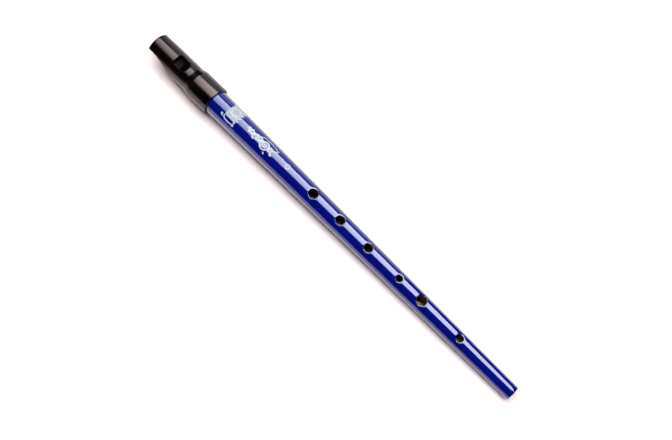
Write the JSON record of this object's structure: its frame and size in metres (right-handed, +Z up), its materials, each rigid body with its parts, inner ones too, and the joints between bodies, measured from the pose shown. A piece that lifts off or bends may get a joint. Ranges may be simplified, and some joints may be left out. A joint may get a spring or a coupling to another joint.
{
  "type": "tin whistle",
  "caption": "Tin whistle: a conical blue enamelled tinplate tube with a row of finger holes, and a black moulded mouthpiece that slides on it for tuning.",
  "frame": {"origin": "on the bore's axis, halfway between the beak's tip and the foot", "axes": "+X along the bore from the beak to the foot, +Z up through the window and the finger holes"},
  "size_m": [0.298, 0.019, 0.019],
  "materials": {
    "enamelled_tinplate": "deep blue gloss enamel on tinplate",
    "solder": "dull soft solder",
    "black_moulding": "satin black moulded plastic",
    "block_moulding": "matt black moulded plastic"
  },
  "bodies": {
    "tube": {"tube": "enamelled_tinplate", "seam_solder": "solder"},
    "head": {"mouthpiece": "black_moulding", "fipple_block": "block_moulding"}
  },
  "joints": [
    {"name": "tuning_slide", "type": "slide", "parent": "tube", "child": "head", "axis": [-1, 0, 0], "range_m": [0, 0.008]}
  ]
}
